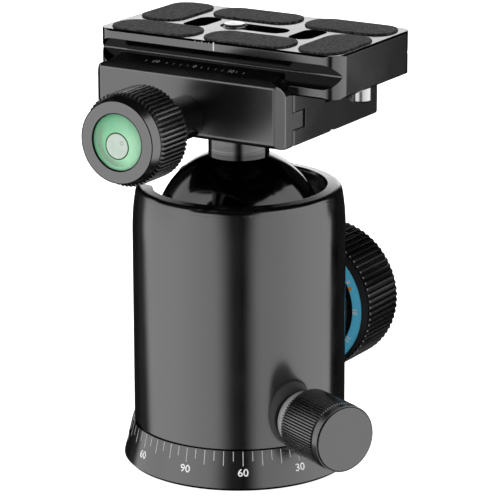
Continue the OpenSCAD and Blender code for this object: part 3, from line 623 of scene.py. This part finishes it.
def spirit_green(name, z, deep, pale, dull):
    """Painted light and shade: deep to pale across the disc, stirred a little by a noise, and a dull
    crescent of painted shade where a ring of radius 5 to 6 mm round the level axis at height z meets
    the side towards (0.85, -0.5)."""
    material, tree, shader, place = blank_finish(name)
    spot = off_axis(tree, place, z)
    out = from_axis(tree, spot)
    band = math_node(tree, "MULTIPLY", eased(tree, out, 3.8, 5.0), eased(tree, out, 6.4, 5.6))
    side = eased(tree, dot(tree, spot, (0, 0.85, -0.5)), -1.0, 4.5)
    crescent = math_node(tree, "MULTIPLY", band, side)
    across_disc = eased(tree, dot(tree, spot, (0, -0.9, -0.35)), -4.5, 4.0)
    swirl = spread(tree, noise(tree, place, 260.0, 1.0), 0.8, 1.2)
    share = math_node(tree, "MULTIPLY", across_disc, swirl, clamp=True)
    feed(tree, shader, Base_Color=blend(tree, crescent, blend(tree, share, deep, pale), dull))
    shader.inputs["Roughness"].default_value = 0.25
    return material


level_z = axis_z("clamp_knob")
finishes["vial_clear"] = clear("vial_clear", (0.06, 0.2, 0.12), 0.9)
# The spirit's colours hold painted light and painted shade.
finishes["vial_fluid"] = spirit_green("vial_fluid", level_z, (0.24, 0.62, 0.36, 1), (0.47, 0.82, 0.56, 1),
                                      (0.27, 0.4, 0.29, 1))
finishes["vial_bubble"] = moulded("vial_bubble", (0.61, 0.65, 0.61), 0.3, grain=300.0, gloss=0.2)
print("level finishes ready, finishes in all:", len(finishes))

# %% [markdown]
# ## A finish for every solid
# The record that comes with the frame names a slot for each solid, so one loop dresses them all.
# Three of them need more than their slot says. The two big knobs have teeth, whose hollows get
# painted shade and whose crowns get a painted highlight on their edges, and the movable jaw is
# milled on its own and has wider rounded edges.

# %% Finish on every solid
slot_of = {s["node"]: s["material_slot"] for s in frame["record"]["subparts"]}
for name, obj in frame["nodes"].items():
    obj.data.materials.clear()
    obj.data.materials.append(finishes[slot_of[name]])

lock_z = axis_z("lock_knob")
# The hollow settings paint shade into the hollows between the teeth.
special = {
    "lock_knob": anodised("serrated_black", 0.075, 0.22, grain=0.0, edge=0.08, edge_lift=3,
                          hollow=(lock_z, 18.45, 18.85, 18.2, 0.2)),
    "clamp_knob": anodised("ridged_black", 0.185, 0.25, grain=0.04,
                           hollow=(level_z, 10.72, 10.9, 10.72, 0.2)),
    "movable_jaw": anodised("jaw_satin", 0.16, 0.26, grain=0.03, edge=0.6),
}
for name, finish in special.items():
    frame["nodes"][name].data.materials[0] = finish
print("finished solids:", len(slot_of), "with a finish of their own:", len(special))

# %% [markdown]
# ## Numbers and lines
# The scales are engraved and filled with paint. Engraving them into the solids would take a cut for
# each, so each mark is a thin closed solid that stands a fiftieth of a millimetre out of the metal
# and has real edges. Words come from Blender's own text curve, made a mesh and read into numpy. A
# place function then bends flat marks, with x along the line, y up and z outwards, on to a cone or
# a slanted face.

# %% Marks
mark_rise = 0.02


def word(text, height, bold=0.012):
    """A word as points and faces: centred on x = 0, standing on y = 0, its faces at z = +-mark_rise."""
    curve = bpy.data.curves.new("word", "FONT")
    curve.body = text
    curve.extrude = 0.5
    curve.resolution_u = 4
    curve.offset = bold
    holder = bpy.data.objects.new("word", curve)
    mesh = bpy.data.meshes.new_from_object(holder)
    work = bmesh.new()
    work.from_mesh(mesh)
    bmesh.ops.remove_doubles(work, verts=work.verts, dist=1e-5)
    bmesh.ops.recalc_face_normals(work, faces=work.faces)
    points = np.array([v.co for v in work.verts])
    faces = [[v.index for v in f.verts] for f in work.faces]
    work.free()
    bpy.data.objects.remove(holder)
    bpy.data.curves.remove(curve)
    bpy.data.meshes.remove(mesh)
    low, high = points.min(0), points.max(0)
    scale = height / (high[1] - low[1])
    points[:, 0] = (points[:, 0] - (low[0] + high[0]) / 2) * scale
    points[:, 1] = (points[:, 1] - low[1]) * scale
    points[:, 2] = np.sign(points[:, 2]) * mark_rise
    return points, faces


def stroke(x, y0, y1, width):
    """A straight mark at x from y0 to y1, as a closed box."""
    points = np.array([(x + i * width, y, z) for i in (-0.5, 0.5) for y in (y0, y1)
                       for z in (-mark_rise, mark_rise)])
    return points, [(0, 1, 3, 2), (4, 6, 7, 5), (0, 4, 5, 1), (2, 3, 7, 6), (0, 2, 6, 4), (1, 5, 7, 3)]


def moved(mark, x=0.0, y=0.0):
    """The mark, shifted on its flat sheet."""
    return mark[0] + (x, y, 0), mark[1]


def placed(mark, place):
    """The mark's points carried on to a surface by its place function."""
    return place(mark[0]), mark[1]


def flat(origin, along, upward):
    """Place function of a flat face: origin + x*along + y*upward + z*(along x upward)."""
    origin, along, upward = (np.array(v, float) for v in (origin, along, upward))
    along, upward = along / np.linalg.norm(along), upward / np.linalg.norm(upward)
    outward = np.cross(along, upward)
    return lambda p: origin + p[:, :1] * along + p[:, 1:2] * upward + p[:, 2:] * outward


print("marks stand out by", mark_rise, "mm")

# %% [markdown]
# ## Scale on the base
# A degree scale runs round the cone under the housing: a mark each 5 degrees, a long one each 10,
# and a number each 30, counted from 0 up to 90 and back, twice round. The seam above it is the
# line that it is read at. The place function wraps x round the cone and lets y run up its slant.

# %% Base scale
# The cone runs from the seam down to the broken edge of the foot.
seam = 0.2
foot_edge = 0.8
base_top = box_mm("housing")[0][2] - seam
base_top_r = 27.5
base_foot_r = box_mm("pan_base")[1][0]
slant = math.atan2(base_foot_r - base_top_r, base_top - foot_edge)


def on_base(turn):
    """Place function of the cone at turn degrees: x runs round it, y up its slant, z out of it."""
    def place(p):
        r = base_top_r - p[:, 1] * math.sin(slant) + p[:, 2] * math.cos(slant)
        z = base_top + p[:, 1] * math.cos(slant) + p[:, 2] * math.sin(slant)
        a = math.radians(turn) + p[:, 0] / base_top_r
        return np.stack([r * np.cos(a), r * np.sin(a), z], -1)
    return place


scale_start = -146.7
tick_step = 5
number_step = 30
tick_top = -0.15
long_tick = -3.8
short_tick = -2.6
tick_w = 0.2
number_h = 1.95
number_low = -6.4
ticks = [placed(stroke(0, short_tick if i % 2 else long_tick, tick_top, tick_w),
                on_base(scale_start + tick_step * i)) for i in range(360 // tick_step)]
mesh_piece("base_scale_marks", *gather(ticks), moulded("tick_white", (0.5, 0.5, 0.5), 0.5, gloss=0.3),
           "base", "black_anodised")
digits = [placed(moved(word(text, number_h), y=number_low), on_base(scale_start + number_step * i))
          for i, text in enumerate(("60", "30", "0", "30", "60", "90") * 2)]
mesh_piece("base_scale_numbers", *gather(digits), scale_white, "base", "black_anodised")
print("base scale:", len(ticks), "marks,", len(digits), "numbers")

# %% [markdown]
# ## Numbers on the drag dial
# The blue ring is numbered like a clock, with an orange mark where the drag is lightest. The
# numbers face the housing and stand with their heads outwards, so each has its own flat place
# function on the ring's face.

# %% Drag dial
dial_x = box_mm("dial_scale")[0][0]
dial_z = axis_z("dial_scale")


def on_dial(turn, r):
    """Place function of the dial's face at radius r, turn degrees from +Y, with y outwards."""
    c, s = math.cos(math.radians(turn)), math.sin(math.radians(turn))
    return flat((dial_x, r * c, dial_z + r * s), (0, -s, c), (0, c, s))


dial_number_h = 1.4
dial_number_r = 14.85
dial_bold = 0.03
numbers = [placed(word(str(n), dial_number_h, dial_bold), on_dial(30 * (n - 4), dial_number_r))
           for n in range(1, 13)]
mesh_piece("dial_numbers", *gather(numbers), scale_white, "drag_dial", "dial_blue")
light_mark_w = 1.0
light_mark_turn = 156.5
light_mark_r = 15.4
light_mark = stroke(0, -light_mark_w / 2, light_mark_w / 2, light_mark_w)
mesh_piece("dial_mark", *placed(light_mark, on_dial(light_mark_turn, light_mark_r)), scale_orange,
           "drag_dial", "dial_blue")
print("dial numbers:", len(numbers))

# %% [markdown]
# ## Scale on the jaw and line on the plate
# The movable jaw's sloping top has a short scale with a mark each 2 mm, cut fine and filled in grey,
# and a white line on the plate's edge is read against it when a camera is put back in the same
# place. Both faces are flat, so only the two edges of the slope are needed to place the scale.

# %% Jaw scale and plate line
slope_low = np.array([-23.5, 0, 104.9])
slope_high = np.array([-17.4, 0, 106.3])
slope_rise = slope_high - slope_low
scale_foot = 0.42
on_jaw = flat(slope_low + scale_foot * slope_rise, (0, -1, 0), slope_rise)
jaw_pitch = 2
jaw_tick_w = 0.16
jaw_number_h = 1.3
jaw_numbers = ((-11, "10"), (0, "0"), (10.5, "10"))
fine = [placed(stroke(jaw_pitch * i, 0.1, 0.9, jaw_tick_w), on_jaw) for i in range(-7, 8) if i % 5]
labels = [placed(moved(word(text, jaw_number_h), x), on_jaw) for x, text in jaw_numbers]
mesh_piece("jaw_scale", *gather(fine + labels), scale_grey, "jaw", "black_anodised")

plate_low, plate_high = box_mm("quick_plate")
plate_y = (plate_low[1] + plate_high[1]) / 2
edge_band = 2.3
on_plate = flat((plate_low[0], plate_y, plate_high[2] - edge_band), (0, -1, 0), (0, 0, 1))
index_w = 0.36
dash_w = 0.3
first_dash = -1.3
index_line = placed(stroke(0, 0.1, 2.2, index_w), on_plate)
mesh_piece("plate_index", *index_line, scale_white, "plate", "plate_anodised")
dashes = [placed(stroke(first_dash - i, 1.5, 1.9 if i % 2 else 2.1, dash_w), on_plate) for i in range(5)]
mesh_piece("plate_marks", *gather(dashes), scale_grey, "plate", "plate_anodised")
print("jaw scale:", len(fine), "marks, plate:", len(dashes) + 1)

# %% [markdown]
# ## Lines on the knobs
# Where a knob's turned face meets its side, the tool leaves a narrow step that stays in shadow. A
# step of a tenth of a millimetre is too fine for the light to find, so a thin ring of painted shadow
# stands for it here. A second one lies round the glass of the bubble level.

# %% Knob lines
knob_heading = 180
knob_face = -box_mm("clamp_knob")[0][0]
knob_line_r = 9.93
knob_line_in = 0.06
knob_line_tube = 0.13
cup_line_r = 7.0
cup_line_in = 0.1
cup_line_tube = 0.14
face_line = ring(knob_heading, level_z, knob_face - knob_line_in, knob_line_r, knob_line_tube)
mesh_piece("knob_face_line", *face_line, shadow_line_black, "jaw_knob", "knob_black", True)
cup_line = ring(knob_heading, level_z, knob_face - cup_line_in, cup_line_r, cup_line_tube)
mesh_piece("level_line", *cup_line, shadow_line_black, "jaw_knob", "knob_black", True)
print("knob face at", round(knob_face, 2))

# %% [markdown]
# ## Spirit and bubble
# The bubble hangs a little off the middle of its cup. The spirit is a turned disc that fills the
# cup, and the bubble a low lens in its front, with a ring of painted shade for the dark outline that
# such a lens shows and a small painted glint in it. They take the place of the two plain discs of
# the frame, which keep their weight but aren't shown.

# %% Spirit and bubble
cup = knob_face - 0.37
spirit_deep = 2.4
spirit_r = 6.9
air_deep = 0.8
air_r = 3.15
off = (-0.2, -1.0)
spirit_profile = [(cup - spirit_deep, 0), (cup - spirit_deep, 6.2), (cup - 0.3, spirit_r),
                  (cup - 0.1, spirit_r - 0.05), (cup - 0.1, 0)]
spirit = mesh_piece("spirit", *lathe(knob_heading, level_z, spirit_profile), finishes["vial_fluid"],
                    "jaw_knob", "vial_fluid", True)
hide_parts("level_fluid")
air_profile = [(cup - air_deep, 0), (cup - air_deep, air_r - 0.15), (cup - 0.08, air_r),
               (cup - 0.04, air_r - 0.25), (cup - 0.02, 0)]
air = mesh_piece("air_bubble", *lathe(knob_heading, level_z, air_profile, aside=off),
                 finishes["vial_bubble"], "jaw_knob", "vial_bubble", True)
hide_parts("level_bubble")
lens_front = cup - 0.1
outline_tube = 0.16
# A ring of painted shade: the dark outline of the lens.
outline = ring(knob_heading, level_z, lens_front, air_r, outline_tube, off)
mesh_piece("bubble_line", *outline, moulded("bubble_outline_shade", (0.07, 0.06, 0.035), 0.4, gloss=0.1),
           "jaw_knob", "vial_bubble", True)
glint_r = 0.42
glint_tube = 0.1
glint_off = (off[0] + 1.3, off[1] + 0.9)
# A small ring of painted reflection: the glint in the bubble.
glint = ring(knob_heading, level_z, lens_front, glint_r, glint_tube, glint_off, 24)
mesh_piece("bubble_glint", *glint, moulded("glint_highlight", (0.3, 0.27, 0.24), 0.4, gloss=0.1),
           "jaw_knob", "vial_bubble", True)
print("bubble of %.1f mm, %.1f mm off the middle" % (2 * air_r, math.hypot(*off)))

# %% [markdown]
# ## Painted glints at the tooth ends of the main lock knob
# At the inner corner of each tooth a small chamfer meets the light, and a pale stroke on it is a
# painted glint. The teeth are found in the solid's own mesh: the angles of its
# outermost corners say where they lie, as the phase of a wave with one turn for each tooth.

# %% Tooth ends
lock_teeth = 72
pitch = 360.0 / lock_teeth
solid = frame["nodes"]["lock_knob"].data
corners = np.empty(len(solid.vertices) * 3)
solid.vertices.foreach_get("co", corners)
corners = corners.reshape(-1, 3) / MM
reach = np.hypot(corners[:, 1], corners[:, 2] - lock_z)
lock_r = reach.max()
outermost = reach > lock_r - 0.02
turns = np.degrees(np.arctan2(corners[:, 2] - lock_z, corners[:, 1]))[outermost]
wave = np.exp(2j * np.pi * turns / pitch).mean()
phase = math.degrees(math.atan2(wave.imag, wave.real)) / 360 * pitch
facet = 0.3
facet_w = 0.42
facet_x = corners[outermost, 0].min() - facet
facet_r = lock_r - facet


def on_lock(turn):
    """Place function of the slanted facet at turn degrees from +Y, with y outwards."""
    c, s = math.cos(math.radians(turn)), math.sin(math.radians(turn))
    return flat((facet_x, facet_r * c, lock_z + facet_r * s), (0, -s, c), (1, c, s))


# Each stroke is a painted glint on a tooth's chamfer.
ends = [placed(stroke(0, 0.03, 0.4, facet_w), on_lock(phase + pitch * i)) for i in range(lock_teeth)]
mesh_piece("lock_tooth_glints", *gather(ends), moulded("tooth_glint_grey", (0.14, 0.14, 0.15), 0.4, gloss=0.4),
           "main_knob", "knob_black")
print("teeth start at %.2f degrees" % phase)

# %% [markdown]
# ## Profile of the pan lock knob
# The small knob has a fine straight knurl, a plain band and a flat end. A knurl that is only a
# texture would leave the knob's outline smooth. Here it is one turned solid: the profile gives the
# radius along the axis, and the relief takes a tooth off that radius round the axis. A tooth has
# four points, two on its crown and two on the floor of the groove.

# %% Pan lock profile
pan_heading = -115
pan_z = axis_z("pan_knob")
pan_in = 27.3
knurl_in = 31.4
knurl_out = 44.4
pan_out = 47.0
pan_r = 8.6
band_r = 8.45
face_r = 8.1
pan_teeth = 74
tooth_depth = 0.45
tooth_shape = np.array([0, 0.12, 0.6, 0.72])
pan_turns = (np.arange(pan_teeth)[:, None] + tooth_shape).ravel() * math.tau / pan_teeth
tooth_cut = np.tile([1.0, 0, 0, 1.0], pan_teeth)
profile = [
    (knurl_in, 0, 0), (knurl_in, 8.0, 0), (knurl_in + 0.02, pan_r, 1), (knurl_in + 0.4, pan_r, 1),
    (knurl_out - 0.3, pan_r, 1), (knurl_out, 8.15, 0), (knurl_out + 0.2, 8.15, 0),
    (knurl_out + 0.35, band_r, 0), (pan_out - 0.4, band_r, 0), (pan_out - 0.38, 8.2, 0),
    (pan_out - 0.3, face_r, 0), (pan_out - 0.1, face_r, 0), (pan_out, 8.0, 0), (pan_out, 0, 0),
]
print("knob of %.1f mm with %d ridges" % (2 * pan_r, pan_teeth))

# %% [markdown]
# ## Pan lock knob and its collar
# Each point of the knurl keeps how deep it lies, as the value groove, and painted shade turns the
# finish black there. The knob's metal is blended with a little plain dye, which the light from the
# floor reaches from below. Behind the knob sits a bright cone, the collar that the knob is turned
# against, with a hard edge where its slope ends.

# %% Pan lock knob
knurled = anodised("knurled_black", 0.155, 0.2, grain=0.03, edge=0.05, edge_lift=2.0, metallic=0.93)
knob = mesh_piece("pan_lock_grip", *lathe(pan_heading, pan_z, profile, pan_turns, tooth_depth * tooth_cut),
                  knurled, "pan_lock", "black_anodised")
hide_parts("pan_knob")
cuts = np.array([station[2] for station in profile[1:-1]], float)[:, None] * tooth_cut
poles = [0.0, 0.0]
point_values(knob.data, "groove", np.concatenate([cuts.ravel(), poles]))

tree = knurled.node_tree
shader = tree.nodes["Principled BSDF"]
# Painted shade: the knurl's colour falls to black with the depth of its groove.
groove = wire(tree, "Attribute", {"attribute_name": "groove"}).outputs["Fac"]
dye = shader.inputs["Base Color"].links[0].from_socket
feed(tree, shader, Base_Color=dimmed(tree, dye, spread(tree, groove, 1.0, 0.04, 0.15, 0.6)))

collar_r = 8.1
collar = [(pan_in, 0), (pan_in, 6.6), (pan_in + 0.3, 6.9), (knurl_in - 0.3, collar_r),
          (knurl_in, collar_r), (knurl_in, 0)]
cone = mesh_piece("pan_lock_collar", *lathe(pan_heading, pan_z, collar),
                  moulded("collar_bright", (0.42, 0.42, 0.42), 0.35), "pan_lock", "bright_steel", True)
cone.data.set_sharp_from_angle(angle=math.radians(30))
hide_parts("pan_knob")
pan_line_r = 8.12
pan_line_in = 0.16
pan_line_tube = 0.12
# A thin ring of painted shadow where the pan knob's face meets its side.
pan_line = ring(pan_heading, pan_z, pan_out - pan_line_in, pan_line_r, pan_line_tube)
mesh_piece("pan_face_line", *pan_line, shadow_line_black, "pan_lock", "black_anodised", True)
print("points in the knurl:", len(knob.data.vertices))
